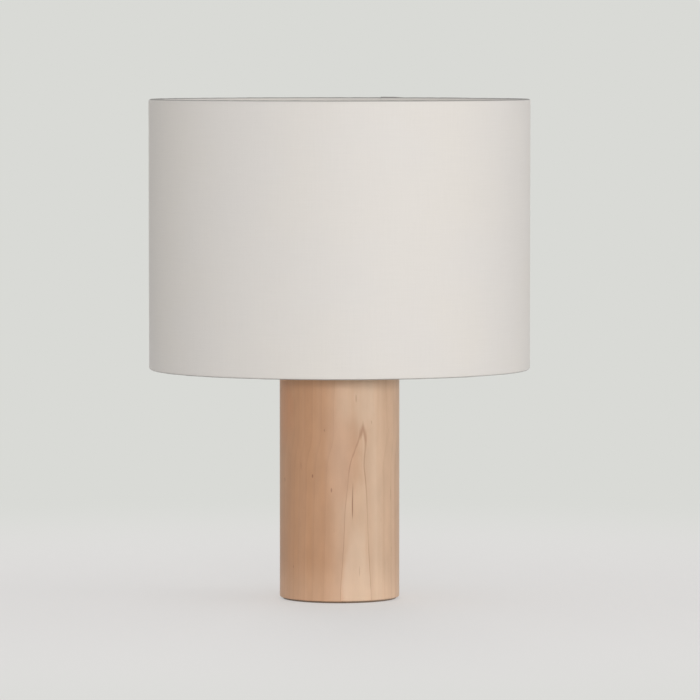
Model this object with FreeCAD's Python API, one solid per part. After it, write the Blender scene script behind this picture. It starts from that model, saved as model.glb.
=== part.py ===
import FreeCAD, Part
import math
import os

from FreeCAD import Vector

# Column table lamp, in millimetres. +Z is up, and the origin is the middle of the foot, on the table.
# The front is -Y. The cord hole and the shade's seam are at the back, towards +Y.

# Clearances
FIT_GAP = 0.05  # round or flat piece seated in its hole or rebate
THREAD_GAP = 0.25  # radial play between a screw thread and the thread that it runs in
REST_GAP = 0.2  # between two pieces that move apart
FOLD_GAP = 0.15  # between a wire and the cloth folded round it

# Foot pad, column and cover plate
PAD_T = 1.5
PAD_INSET = 3.0
COLUMN_D = 110.0
COLUMN_H = 214.0
COLUMN_ROUND = 1.0
RECESS_D = 66.0
RECESS_H = 24.0
PLATE_D = 90.0
PLATE_T = 3.0
PLATE_SCREWS = 3
PLATE_SCREW_D = 3.5
PLATE_SCREW_L = 16.0
PLATE_SCREW_HEAD_D = 7.0

# Hollow threaded tube, its nuts and washers
TUBE_D = 10.0
TUBE_WALL = 1.0
TUBE_TAIL = 8.0  # below the recess ceiling
TUBE_NOSE = 7.0  # up inside the lampholder's neck
BORE_GAP = 0.3
NUT_FLATS = 14.0
NUT_H = 3.0
WASHER_D = 26.0
WASHER_T = 1.5
TOP_PLATE_D = 58.0
TOP_PLATE_T = 1.5

# Cord hole, gland and clamp
CORD_D = 6.5
CORD_PLAY = 0.15
GLAND_D = 10.0
GLAND_FLANGE_D = 14.0
GLAND_FLANGE_T = 2.0
GLAND_SINK = 1.6
GLAND_H = 12.5  # hole's axis above the column's underside
GLAND_TAIL = 1.0
CLAMP_W = 8.0
CLAMP_T = 1.2
CLAMP_FOOT = 8.0
CLAMP_PLACE = 22.0  # from the lamp's axis
CLAMP_SCREW_D = 3.0
CLAMP_SCREW_L = 10.0
CLAMP_HEAD_D = 5.6
CLAMP_HEAD_H = 1.8

# Terminal block in the recess, and the two wires up to the lampholder
BLOCK_SIZE_X = 12.0
BLOCK_SIZE_Y = 18.0
BLOCK_H = 12.0
BLOCK_PLACE = 20.0
BLOCK_POLE = 4.5  # each pole's distance from the block's middle
BLOCK_WAY_D = 3.2
BLOCK_WAY_H = 5.0  # the wire ways above the block's underside
BLOCK_SCREW_D = 2.9
BLOCK_SCREW_L = 2.4
BLOCK_SCREW_PLACE = 3.2
WIRE_D = 1.9
WIRE_APART = 1.8  # each wire's distance from the tube's axis
WIRE_DIP = 7.0  # how far the wires hang below the tube's mouth

# Lampholder: cap, threaded skirt, insulator and contacts
HOLDER_D = 40.0
HOLDER_WALL = 2.0
HOLDER_CAP_H = 24.0
HOLDER_NECK_D = 16.0
HOLDER_NECK_H = 7.0
HOLDER_SHOULDER_H = 17.0
GRUB_D = 3.0
LEDGE_D = 30.0
SPIGOT_D = 35.8
SPIGOT_H = 4.0
SEAT_D = 46.0
SEAT_T = 3.0
SKIRT_H = 30.0
SKIRT_BORE_D = 32.0
SKIRT_LIP_D = 30.0
SKIRT_THREAD_D = 39.8
SKIRT_PITCH = 2.5
SKIRT_THREAD_DEPTH = 1.0
SKIRT_RELIEF = 1.5
SKIRT_RIM = 2.0
INSULATOR_T = 12.0
SLEEVE_H = 12.0
SLEEVE_WALL = 1.5
TERMINAL_SIZE = 6.0
TERMINAL_H = 6.0
TERMINAL_PLACE = 7.75
TERMINAL_SCREW_D = 2.6
RIVET_D = 2.0
SHELL_H = 20.0
SHELL_WALL = 0.4
SHELL_EYE_D = 16.0
CONTACT_W = 5.0
CONTACT_T = 0.5
CONTACT_RISE = 3.0
CONTACT_ROOT = 7.0

# Shade: fabric on a stiff liner, two wire rings, and the arms that carry it
SHADE_D = 350.0
SHADE_H = 248.0
SHADE_DROP = 36.0  # from the lampholder's seat down to the shade's lower edge
FABRIC_T = 0.7
LINER_T = 0.5
RING_WIRE_D = 3.0
HEM_H = 12.0
SEAM_W = 12.0
SEAM_T = 0.5
SEAM_ANGLE = 75.0
ARM_COUNT = 3
ARM_D = 3.5
ARM_BEND_R = 12.0
ARM_FIRST_ANGLE = 90.0
ARM_NOTCH_W = 7.0
FITTER_D = 54.0
FITTER_BORE_D = 42.0
FITTER_T = 2.0

# Shade ring with its fibre washer
FIBRE_D = 52.0
FIBRE_BORE_D = 41.2
FIBRE_T = 1.0
CLAMP_RING_D = 57.0
CLAMP_RING_COLLAR_D = 50.0
CLAMP_RING_H = 8.0
CLAMP_RING_FLANGE_T = 2.5
GRIP_COUNT = 24
GRIP_D = 2.2

# Bulb
LAMP_THREAD_D = 26.4
LAMP_PITCH = 3.629
LAMP_THREAD_DEPTH = 1.1
LAMP_THREAD_H = 15.0
BULB_TIP_D = 9.2
BULB_TIP_H = 1.2
BULB_PIN_D = 4.0
BULB_PIN_H = 2.0
BULB_GLAZE_H = 5.2  # the black insulator between tip and cap
BULB_GLAZE_D = 21.2
BULB_CAP_LIP = 1.0
BULB_CAP_BORE_D = 22.6
BULB_COLLAR_D = 26.6
BULB_COLLAR_H = 6.0
BULB_D = 60.0
BULB_DOME_LOW = 12.0  # how far the dome reaches below its widest place
BULB_HOUSING_H = 40.0
BULB_WALL = 1.6
BULB_SPIGOT_H = 9.0
BOARD_T = 1.2
BOARD_LEDGE = 3.0
CHIP_COUNT = 10
CHIP_SIZE = 3.0
CHIP_T = 0.8
CHIP_RING = 0.6  # the chips' circle, as a share of the board's radius
DRIVER_W = 15.0
DRIVER_T = 1.2
DRIVER_H = 34.0
CAPACITOR_D = 6.0
CAPACITOR_H = 12.0
COIL_W = 7.0
COIL_T = 4.0

# Heights, from the foot up
COLUMN_Z0 = PAD_T
COLUMN_Z1 = COLUMN_Z0 + COLUMN_H
CEILING_Z = COLUMN_Z0 + RECESS_H
GLAND_Z = COLUMN_Z0 + GLAND_H
TOP_NUT_Z = COLUMN_Z1 + TOP_PLATE_T
HOLDER_Z = TOP_NUT_Z + NUT_H
SPIGOT_Z = HOLDER_Z + HOLDER_CAP_H - SPIGOT_H
SEAT_Z = HOLDER_Z + HOLDER_CAP_H + SEAT_T
SKIRT_Z1 = SEAT_Z + SKIRT_H
SOCKET_Z = SPIGOT_Z + INSULATOR_T  # floor of the socket
FIBRE_Z = SEAT_Z + FITTER_T
CLAMP_RING_Z = FIBRE_Z + FIBRE_T
SHADE_Z0 = SEAT_Z - SHADE_DROP
SHADE_Z1 = SHADE_Z0 + SHADE_H
TUBE_Z0 = CEILING_Z - TUBE_TAIL
TUBE_Z1 = HOLDER_Z + TUBE_NOSE
BULB_Z0 = SOCKET_Z + CONTACT_T + CONTACT_RISE + REST_GAP
BULB_CAP_Z = BULB_Z0 + BULB_GLAZE_H - BULB_CAP_LIP
BULB_THREAD_Z = BULB_Z0 + BULB_GLAZE_H
BULB_COLLAR_Z = BULB_THREAD_Z + LAMP_THREAD_H
BULB_HOUSING_Z = BULB_COLLAR_Z + BULB_COLLAR_H
BULB_DOME_Z = BULB_HOUSING_Z + BULB_HOUSING_H
BOARD_Z = BULB_DOME_Z - BOARD_LEDGE

# Radii worked out from the sizes above
COLUMN_R = COLUMN_D / 2
PLATE_SCREW_RING = (RECESS_D + PLATE_D) / 4
TUBE_R = TUBE_D / 2
SKIRT_MEAN_R = (SKIRT_THREAD_D - SKIRT_THREAD_DEPTH) / 2
SKIRT_ROOT_R = SKIRT_THREAD_D / 2 - SKIRT_THREAD_DEPTH
LAMP_MEAN_R = (LAMP_THREAD_D - LAMP_THREAD_DEPTH) / 2
WIRE_RING_R = SHADE_D / 2 - FABRIC_T - FOLD_GAP - RING_WIRE_D / 2
LINER_OUT_R = SHADE_D / 2 - FABRIC_T
LINER_IN_R = LINER_OUT_R - LINER_T
FOLD_R = RING_WIRE_D / 2 + FOLD_GAP
ARM_R = ARM_D / 2
CONTACT_RIVET_Y = -(CONTACT_ROOT - RIVET_D * 0.6)
SHELL_RIVET_Y = SHELL_EYE_D / 2 + RIVET_D * 0.75
ARM_RISE_R = WIRE_RING_R - RING_WIRE_D / 2 - ARM_R
ARM_Z = SEAT_Z + FITTER_T / 2
BULB_DOME_R = math.sqrt((BULB_D / 2) ** 2 - BULB_DOME_LOW**2)

UP = Vector(0, 0, 1)
THREAD_STEPS = 10  # sections in each turn of a thread


def rod(diameter, z0, z1, x=0.0, y=0.0):
    """Upright cylinder."""
    return Part.makeCylinder(diameter / 2, z1 - z0, Vector(x, y, z0))


def ring(outer_d, inner_d, z0, z1):
    """Upright tube."""
    return rod(outer_d, z0, z1).cut(rod(inner_d, z0, z1))


def outline(steps, place):
    """Closed wire. A step is a point, or a pair for an arc: a point on the way, then its end."""
    first = last = place(*steps[0])
    edges = []
    for step in steps[1:]:
        if isinstance(step[0], tuple):
            end = place(*step[1])
            edges.append(Part.Arc(last, place(*step[0]), end).toShape())
        else:
            end = place(*step)
            edges.append(Part.LineSegment(last, end).toShape())
        last = end
    if (first - last).Length > 1e-6:
        edges.append(Part.LineSegment(last, first).toShape())
    return Part.Wire(edges)


def spin(*steps):
    """Solid turned round the Z axis from an outline of (radius, height) steps."""
    wire = outline(steps, lambda r, z: Vector(r, 0, z))
    return Part.Face(wire).revolve(Vector(), UP, 360)


def slab(steps, depth, y0):
    """Solid cut along Y from an outline of (x, z) steps."""
    wire = outline(steps, lambda x, z: Vector(x, y0, z))
    return Part.Face(wire).extrude(Vector(0, depth, 0))


def box(size_x, size_y, size_z, x, y, z0):
    """Box on z0, centred on x and y."""
    corner = Vector(x - size_x / 2, y - size_y / 2, z0)
    return Part.makeBox(size_x, size_y, size_z, corner)


def about(shape, angle):
    """Copy of a shape turned about the lamp's axis."""
    turned = shape.copy()
    turned.rotate(Vector(), UP, angle)
    return turned


def moved(shape, x, y, z):
    """Copy of a shape moved."""
    copy = shape.copy()
    copy.translate(Vector(x, y, z))
    return copy


def to_back(shape, z):
    """Copy of a shape built along +Z, turned to point along +Y at height z."""
    turned = shape.copy()
    turned.rotate(Vector(), Vector(1, 0, 0), -90)
    turned.translate(Vector(0, 0, z))
    return turned


def angles(count, first=0.0):
    """Evenly spaced angles."""
    return [first + 360.0 * i / count for i in range(count)]


def around(count, radius, first=0.0):
    """Evenly spaced points on a circle, as (x, y)."""
    return [
        (radius * math.cos(math.radians(a)), radius * math.sin(math.radians(a)))
        for a in angles(count, first)
    ]


def threaded(mean_r, depth, pitch, z0, z1):
    """Round-thread rod: a circle held off the axis by half the depth, which turns as it climbs."""
    off = depth / 2
    count = max(2, round(THREAD_STEPS * (z1 - z0) / pitch))
    sections = []
    for i in range(count + 1):
        z = z0 + (z1 - z0) * i / count
        turn = 2 * math.pi * z / pitch
        centre = Vector(off * math.cos(turn), off * math.sin(turn), z)
        sections.append(Part.Wire(Part.makeCircle(mean_r, centre, UP)))
    return Part.makeLoft(sections, True, True)


def bent_tube(points, diameter, share=0.45, radius=None):
    """Round bar along straight runs joined by tangent arcs."""
    edges = []
    at = points[0]
    for before, corner, after in zip(points, points[1:], points[2:]):
        run_in = (corner - before).Length
        run_out = (after - corner).Length
        into = (corner - before).normalize()
        out = (after - corner).normalize()
        half = into.getAngle(out) / 2
        cut = share * min(run_in, run_out)
        if radius:
            cut = min(cut, radius * math.tan(half))
        bend = cut / math.tan(half)
        start = corner - into * cut
        end = corner + out * cut
        inward = (out - into).normalize()
        middle = corner + inward * (bend / math.cos(half) - bend)
        edges.append(Part.LineSegment(at, start).toShape())
        edges.append(Part.Arc(start, middle, end).toShape())
        at = end
    edges.append(Part.LineSegment(at, points[-1]).toShape())
    path = Part.Wire(edges)
    circle = Part.makeCircle(diameter / 2, points[0], points[1] - points[0])
    solid = path.makePipeShell([Part.Wire(circle)], True, False)
    expected = math.pi * (diameter / 2) ** 2 * path.Length
    print(f"tube {diameter:.1f} x {path.Length:.1f}, volume off by {solid.Volume / expected - 1:+.4f}")
    return solid


# Foot, column and plate


def foot_pad():
    return rod(COLUMN_D - 2 * PAD_INSET, 0, PAD_T)


def plate_screw(gap=0.0):
    """Countersunk wood screw on the axis, its head level with the column's underside."""
    head_r = PLATE_SCREW_HEAD_D / 2 + gap
    r = PLATE_SCREW_D / 2 + gap
    z0 = COLUMN_Z0
    neck = z0 + head_r - r
    tip = z0 + PLATE_SCREW_L + gap
    return spin((0, z0), (head_r, z0), (r, neck), (r, tip - PLATE_SCREW_D), (0, tip))


def plate_screw_places():
    return around(PLATE_SCREWS, PLATE_SCREW_RING, -90.0)


def base_screws():
    slot = box(PLATE_SCREW_HEAD_D * 0.8, 0.9, 0.9, 0, 0, COLUMN_Z0)
    screw = plate_screw().cut(slot)
    return Part.makeCompound([moved(screw, x, y, 0) for x, y in plate_screw_places()])


def base_plate():
    plate = rod(PLATE_D, COLUMN_Z0, COLUMN_Z0 + PLATE_T)
    holes = [moved(plate_screw(FIT_GAP), x, y, 0) for x, y in plate_screw_places()]
    return plate.cut(holes)


def column():
    r = COLUMN_R
    e = COLUMN_ROUND
    k = e * (1 - math.sqrt(0.5))
    z0, z1 = COLUMN_Z0, COLUMN_Z1
    body = spin(
        (0, z0),
        (r - e, z0),
        ((r - k, z0 + k), (r, z0 + e)),
        (r, z1 - e),
        ((r - k, z1 - k), (r - e, z1)),
        (0, z1),
    )
    hollows = [
        rod(RECESS_D, z0, CEILING_Z),
        rod(PLATE_D + 2 * FIT_GAP, z0, z0 + PLATE_T),
        rod(TUBE_D + 2 * BORE_GAP, z0, z1),
        to_back(rod(GLAND_D + 2 * FIT_GAP, 0, r), GLAND_Z),
        to_back(rod(GLAND_FLANGE_D + 2 * FIT_GAP, r - GLAND_SINK, r + GLAND_FLANGE_T), GLAND_Z),
    ]
    hollows += [moved(plate_screw(FIT_GAP), x, y, 0) for x, y in plate_screw_places()]
    hollows += clamp_screw_shapes(FIT_GAP)
    return body.cut(hollows)


# Tube, nuts and washers


def threaded_tube():
    return ring(TUBE_D, TUBE_D - 2 * TUBE_WALL, TUBE_Z0, TUBE_Z1)


def hex_nut(z0):
    corner = NUT_FLATS / math.sqrt(3)
    points = [Vector(x, y, z0) for x, y in around(6, corner)]
    prism = Part.Face(Part.makePolygon(points + points[:1])).extrude(UP * NUT_H)
    flat_r = NUT_FLATS / 2
    cut = (corner - flat_r) * 0.6
    z1 = z0 + NUT_H
    turned = spin((0, z0), (flat_r, z0), (corner, z0 + cut), (corner, z1 - cut), (flat_r, z1), (0, z1))
    return prism.common(turned).cut(rod(TUBE_D + 2 * FIT_GAP, z0, z1))


def bottom_washer():
    return ring(WASHER_D, TUBE_D + 2 * FIT_GAP, CEILING_Z - WASHER_T, CEILING_Z)


def bottom_nut():
    return hex_nut(CEILING_Z - WASHER_T - NUT_H)


def top_plate():
    edge = TOP_PLATE_T / 2
    z0, z1 = COLUMN_Z1, TOP_NUT_Z
    r = TOP_PLATE_D / 2
    disc = spin((0, z0), (r, z0), ((r - edge * 0.3, z0 + edge * 1.4), (r - edge, z1)), (0, z1))
    return disc.cut(rod(TUBE_D + 2 * FIT_GAP, z0, z1))


def top_nut():
    return hex_nut(TOP_NUT_Z)


# Cord gland, clamp and terminal block


def cord_gland():
    inner = RECESS_D / 2 - GLAND_TAIL
    seat = COLUMN_R - GLAND_SINK
    face = seat + GLAND_FLANGE_T
    bore_r = CORD_D / 2 + CORD_PLAY
    body_r = GLAND_D / 2
    flange_r = GLAND_FLANGE_D / 2
    e = GLAND_FLANGE_T * 0.4
    k = e * (1 - math.sqrt(0.5))
    turned = spin(
        (bore_r, inner),
        (body_r, inner),
        (body_r, seat),
        (flange_r, seat),
        (flange_r, face - e),
        ((flange_r - k, face - k), (flange_r - e, face)),
        (bore_r, face),
    )
    return to_back(turned, GLAND_Z)


def clamp_screw_offset():
    return CORD_D / 2 + CLAMP_T + CLAMP_FOOT / 2


def clamp_screw_shapes(gap=0.0):
    """Two round-headed wood screws, from below into the recess ceiling."""
    r = CLAMP_SCREW_D / 2 + gap
    head_r = CLAMP_HEAD_D / 2
    under = CEILING_Z - CLAMP_T
    top = under + CLAMP_SCREW_L + gap
    screw = spin(
        (0, under - CLAMP_HEAD_H),
        ((head_r * 0.75, under - CLAMP_HEAD_H * 0.75), (head_r, under)),
        (r, under),
        (r, top - CLAMP_SCREW_D),
        (0, top),
    )
    return [moved(screw, side * clamp_screw_offset(), CLAMP_PLACE, 0) for side in (-1, 1)]


def clamp_screws():
    return Part.makeCompound(clamp_screw_shapes())


def cord_clamp():
    """Strap that presses the cord up against the recess ceiling."""
    inside = CORD_D / 2
    outside = inside + CLAMP_T
    centre = CEILING_Z - inside
    foot = outside + CLAMP_FOOT
    under = CEILING_Z - CLAMP_T
    strap = slab(
        [
            (-foot, CEILING_Z),
            (-foot, under),
            (-outside, under),
            (-outside, centre),
            ((0, centre - outside), (outside, centre)),
            (outside, under),
            (foot, under),
            (foot, CEILING_Z),
            (inside, CEILING_Z),
            (inside, centre),
            ((0, centre - inside), (-inside, centre)),
            (-inside, CEILING_Z),
        ],
        CLAMP_W,
        CLAMP_PLACE - CLAMP_W / 2,
    )
    return strap.cut(clamp_screw_shapes(FIT_GAP))


def block_way_z():
    return CEILING_Z - BLOCK_H + BLOCK_WAY_H


def terminal_block():
    """Two-pole block against the recess ceiling, with its screws reached from below."""
    low = CEILING_Z - BLOCK_H
    body = box(BLOCK_SIZE_X, BLOCK_SIZE_Y, BLOCK_H, -BLOCK_PLACE, 0, low)
    holes = []
    start = -BLOCK_PLACE - BLOCK_SIZE_X / 2
    for side in (-1, 1):
        place = Vector(start, side * BLOCK_POLE, block_way_z())
        holes.append(Part.makeCylinder(BLOCK_WAY_D / 2, BLOCK_SIZE_X, place, Vector(1, 0, 0)))
    holes += [moved(hole, 0, 0, low) for hole in block_screw_rods(BLOCK_WAY_H, FIT_GAP)]
    return body.cut(holes)


def block_screw_rods(length, gap=0.0):
    places = [(a * BLOCK_SCREW_PLACE, b * BLOCK_POLE) for a in (-1, 1) for b in (-1, 1)]
    return [rod(BLOCK_SCREW_D + 2 * gap, 0, length, x - BLOCK_PLACE, y) for x, y in places]


def terminal_block_screws():
    slot_d = BLOCK_SCREW_D * 0.25
    low = CEILING_Z - BLOCK_H + BLOCK_WAY_H - BLOCK_WAY_D / 2 - BLOCK_SCREW_L
    screws = []
    for shape in block_screw_rods(BLOCK_SCREW_L):
        centre = shape.CenterOfMass
        slot = box(BLOCK_SCREW_D, slot_d, slot_d, centre.x, centre.y, 0)
        screws.append(moved(shape.cut(slot), 0, 0, low))
    return Part.makeCompound(screws)


def inner_wires():
    """Two wires from the block, up through the tube, to the lampholder's terminals."""
    way = block_way_z()
    dip = TUBE_Z0 - WIRE_DIP
    start = -BLOCK_PLACE + BLOCK_SIZE_X / 2 - BLOCK_WAY_D
    terminal = SPIGOT_Z - TERMINAL_H
    wires = []
    for side in (-1, 1):
        pole = side * BLOCK_POLE
        inside = side * WIRE_APART
        post = side * TERMINAL_PLACE
        route = [
            Vector(start, pole, way),
            Vector(start * 0.65, pole, way),
            Vector(start * 0.35, (inside + pole) / 2, dip),
            Vector(0, inside, dip),
            Vector(0, inside, TUBE_Z1 + WIRE_D / 2),
            Vector(0, post, (TUBE_Z1 + terminal) / 2 + WIRE_D / 2),
            Vector(0, post, terminal),
        ]
        wires.append(bent_tube(route, WIRE_D))
    return Part.makeCompound(wires)


# Lampholder


def holder_cap():
    r0, r1 = HOLDER_NECK_D / 2, HOLDER_D / 2
    z = HOLDER_Z
    bore = TUBE_R + FIT_GAP
    ledge = LEDGE_D / 2
    low = z + HOLDER_NECK_H
    shoulder = z + HOLDER_SHOULDER_H
    bulge = (r1 - (r1 - r0) * 0.36, low + (shoulder - low) * 0.36)
    inner_low = low + HOLDER_WALL
    body = spin(
        (bore, z),
        (r0, z),
        (r0, low),
        (bulge, (r1, shoulder)),
        (r1, z + HOLDER_CAP_H),
        (SPIGOT_D / 2 + FIT_GAP, z + HOLDER_CAP_H),
        (SPIGOT_D / 2 + FIT_GAP, SPIGOT_Z),
        (ledge, SPIGOT_Z),
        (ledge, shoulder),
        (bore + HOLDER_WALL, inner_low),
        (bore, inner_low - HOLDER_WALL / 2),
    )
    grub_hole = to_back(rod(GRUB_D + 2 * FIT_GAP, TUBE_R, r0 + 1), z + HOLDER_NECK_H / 2)
    return body.cut(grub_hole)


def holder_grub_screw():
    screw = rod(GRUB_D, TUBE_R + FIT_GAP, HOLDER_NECK_D / 2 - FIT_GAP)
    slot = box(GRUB_D, 0.6, 0.8, 0, 0, HOLDER_NECK_D / 2 - 0.8)
    return to_back(screw.cut(slot), HOLDER_Z + HOLDER_NECK_H / 2)


def holder_skirt():
    thread_z0 = SEAT_Z + SKIRT_RELIEF
    thread_z1 = SKIRT_Z1 - SKIRT_RIM
    body = rod(SPIGOT_D, SPIGOT_Z, SEAT_Z - SEAT_T)
    body = body.fuse(rod(SEAT_D, SEAT_Z - SEAT_T, SEAT_Z))
    body = body.fuse(rod(2 * SKIRT_ROOT_R - 2 * FIT_GAP, SEAT_Z, thread_z0))
    thread = threaded(SKIRT_MEAN_R, SKIRT_THREAD_DEPTH, SKIRT_PITCH, thread_z0, thread_z1)
    body = body.fuse(thread)
    body = body.fuse(rod(2 * SKIRT_ROOT_R - 2 * FIT_GAP, thread_z1, SKIRT_Z1))
    body = body.cut(rod(SKIRT_BORE_D, SPIGOT_Z, SOCKET_Z + SLEEVE_H + FIT_GAP))
    return body.cut(rod(SKIRT_LIP_D, SPIGOT_Z, SKIRT_Z1))


def holder_insulator():
    """Floor of the socket, with a sleeve round the shell and a hole for each contact's rivet."""
    out = SKIRT_BORE_D / 2 - FIT_GAP
    top = SOCKET_Z + SLEEVE_H
    inside = out - SLEEVE_WALL
    body = spin(
        (0, SPIGOT_Z),
        (out, SPIGOT_Z),
        (out, top),
        (inside, top),
        (inside, SOCKET_Z),
        (0, SOCKET_Z),
    )
    hole_d = RIVET_D + 2 * FIT_GAP
    return body.cut([rod(hole_d, SPIGOT_Z, SOCKET_Z, 0, y) for y in (CONTACT_RIVET_Y, SHELL_RIVET_Y)])


def rivet(y):
    """Pin from the socket's floor down to the terminal under the insulator."""
    return rod(RIVET_D, SPIGOT_Z, SOCKET_Z, 0, y)


def holder_terminals():
    """Two terminal posts under the insulator, each with its clamping screw."""
    pieces = []
    low = SPIGOT_Z - TERMINAL_H
    for side in (-1, 1):
        y = side * TERMINAL_PLACE
        start = Vector(0, y, low + TERMINAL_H / 2)
        length = TERMINAL_SIZE / 2
        hole = Part.makeCylinder(TERMINAL_SCREW_D / 2 + FIT_GAP, length, start, Vector(1, 0, 0))
        screw = Part.makeCylinder(TERMINAL_SCREW_D / 2, length, start, Vector(1, 0, 0))
        pieces += [box(TERMINAL_SIZE, TERMINAL_SIZE, TERMINAL_H, 0, y, low).cut(hole), screw]
    return Part.makeCompound(pieces)


def socket_shell():
    """Thin brass sleeve with the lamp thread, riveted to the socket's floor."""
    z0, z1 = SOCKET_Z, SOCKET_Z + SHELL_H
    inside_r = LAMP_MEAN_R + THREAD_GAP
    outer = threaded(inside_r + SHELL_WALL, LAMP_THREAD_DEPTH, LAMP_PITCH, z0, z1)
    inner = threaded(inside_r, LAMP_THREAD_DEPTH, LAMP_PITCH, z0, z1)
    floor_d = 2 * (inside_r - LAMP_THREAD_DEPTH / 2)
    floor = ring(floor_d + 2 * SHELL_WALL, SHELL_EYE_D, z0, z0 + SHELL_WALL)
    return outer.cut(inner).fuse([floor, rivet(SHELL_RIVET_Y)])


def centre_contact():
    """Leaf spring, riveted at its root and bent up to the middle of the socket."""
    z = SOCKET_Z
    t = CONTACT_T
    top = z + CONTACT_RISE
    root = -CONTACT_ROOT
    half = CONTACT_W / 2
    foot = root + 2 * RIVET_D
    knee = -BULB_TIP_D / 5
    leaf = slab(
        [
            (root, z),
            (foot, z),
            (knee, top),
            (half, top),
            (half, top + t),
            (knee - t * 0.6, top + t),
            (foot - t * 0.6, z + t),
            (root, z + t),
        ],
        CONTACT_W,
        -half,
    )
    return about(leaf, 90).fuse(rivet(CONTACT_RIVET_Y))


# Shade


def hem():
    """The fabric's lower edge: folded round the wire ring and stuck up the inside."""
    r = WIRE_RING_R
    out_fold, in_fold = FOLD_R + FABRIC_T, FOLD_R
    z = wire_z(True)
    lean_z = z + RING_WIRE_D / 2
    flap_z = z + 2 * RING_WIRE_D
    end_z = SHADE_Z0 + HEM_H
    flap_r = LINER_IN_R - FABRIC_T
    return spin(
        (r + out_fold, z),
        ((r, SHADE_Z0), (r - out_fold, z)),
        (r - out_fold, lean_z),
        (flap_r, flap_z),
        (flap_r, end_z),
        (LINER_IN_R, end_z),
        (LINER_IN_R, flap_z),
        (r - in_fold, lean_z),
        (r - in_fold, z),
        ((r, z - in_fold), (r + in_fold, z)),
    )


def arm_notches():
    """Gaps in the lower fold, one at each arm."""
    start = ARM_RISE_R - ARM_R
    depth = WIRE_RING_R - start
    low = wire_z(True) - FIT_GAP
    notch = box(depth, ARM_NOTCH_W, SHADE_Z0 + HEM_H - low, start + depth / 2, 0, low)
    return [about(notch, a) for a in arm_angles()]


def seam_lap():
    """The strip where the fabric's end overlaps its beginning."""
    z0, z1 = wire_z(True), wire_z(False)
    r = SHADE_D / 2
    turn = math.degrees(SEAM_W / r)
    strip = Part.makeCylinder(r + SEAM_T, z1 - z0, Vector(0, 0, z0), UP, turn)
    return about(strip.cut(rod(SHADE_D - FABRIC_T, z0, z1)), SEAM_ANGLE - turn / 2)


def shade_fabric():
    wall = ring(SHADE_D, SHADE_D - 2 * FABRIC_T, wire_z(True), wire_z(False))
    low_hem = hem()
    top_hem = low_hem.mirror(Vector(0, 0, (SHADE_Z0 + SHADE_Z1) / 2), UP)
    skin = wall.fuse([low_hem.cut(arm_notches()), top_hem, seam_lap()])
    return skin.removeSplitter()


def shade_liner():
    low = SHADE_Z0 + FABRIC_T + 2 * FOLD_R
    high = SHADE_Z1 - FABRIC_T - 2 * FOLD_R
    return ring(2 * LINER_OUT_R, 2 * LINER_IN_R, low, high)


def wire_z(lower):
    gap = FABRIC_T + FOLD_R
    return SHADE_Z0 + gap if lower else SHADE_Z1 - gap


def wire_ring(lower):
    return Part.makeTorus(WIRE_RING_R, RING_WIRE_D / 2, Vector(0, 0, wire_z(lower)))


def arm_angles():
    return angles(ARM_COUNT, ARM_FIRST_ANGLE)


def spider_arms():
    """Wires that stand on the lower ring and bend in to the fitter ring."""
    foot = Vector(ARM_RISE_R, 0, wire_z(True))
    corner = Vector(ARM_RISE_R, 0, ARM_Z)
    end = Vector(FITTER_D / 2 - FITTER_T, 0, ARM_Z)
    arm = bent_tube([foot, corner, end], ARM_D, radius=ARM_BEND_R)
    arm = arm.cut(rod(FITTER_D, ARM_Z - ARM_D, ARM_Z + ARM_D))
    return Part.makeCompound([about(arm, a) for a in arm_angles()])


def fitter_ring():
    return ring(FITTER_D, FITTER_BORE_D, SEAT_Z, FIBRE_Z)


# Shade ring


def clamp_washer():
    return ring(FIBRE_D, FIBRE_BORE_D, FIBRE_Z, CLAMP_RING_Z)


def shade_ring():
    z0 = CLAMP_RING_Z
    z1 = z0 + CLAMP_RING_H
    step = z0 + CLAMP_RING_FLANGE_T
    r0, r1 = CLAMP_RING_D / 2, CLAMP_RING_COLLAR_D / 2
    e = CLAMP_RING_FLANGE_T / 4
    body = spin((0, z0), (r0, z0), (r0, step - e), (r0 - e, step), (r1, step), (r1, z1 - e), (r1 - e, z1), (0, z1))
    thread = threaded(SKIRT_MEAN_R + THREAD_GAP, SKIRT_THREAD_DEPTH, SKIRT_PITCH, z0, z1)
    grips = [rod(GRIP_D, step, z1, x, y) for x, y in around(GRIP_COUNT, r1)]
    return body.cut(thread).cut(grips)


# Bulb


def bulb_tip():
    """Solder button, a shallow cap of a ball, on its pin."""
    z = BULB_Z0
    r = BULB_TIP_D / 2
    top = z + BULB_TIP_H
    pin = BULB_PIN_D / 2
    ball_r = (r**2 + BULB_TIP_H**2) / (2 * BULB_TIP_H)
    half_way = (r / 2, z + ball_r - math.sqrt(ball_r**2 - (r / 2) ** 2))
    pin_top = top + BULB_PIN_H
    return spin((0, z), (half_way, (r, top)), (pin, top), (pin, pin_top), (0, pin_top))


def bulb_insulator():
    low = BULB_Z0 + BULB_TIP_H + FIT_GAP
    pin = BULB_PIN_D / 2 + FIT_GAP
    r = BULB_GLAZE_D / 2
    lip = BULB_CAP_Z
    top = BULB_Z0 + BULB_GLAZE_H + BULB_TIP_H
    return spin((pin, low), (BULB_TIP_D / 2 + FIT_GAP, low), (r, lip), (r, top), (pin, top))


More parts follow.
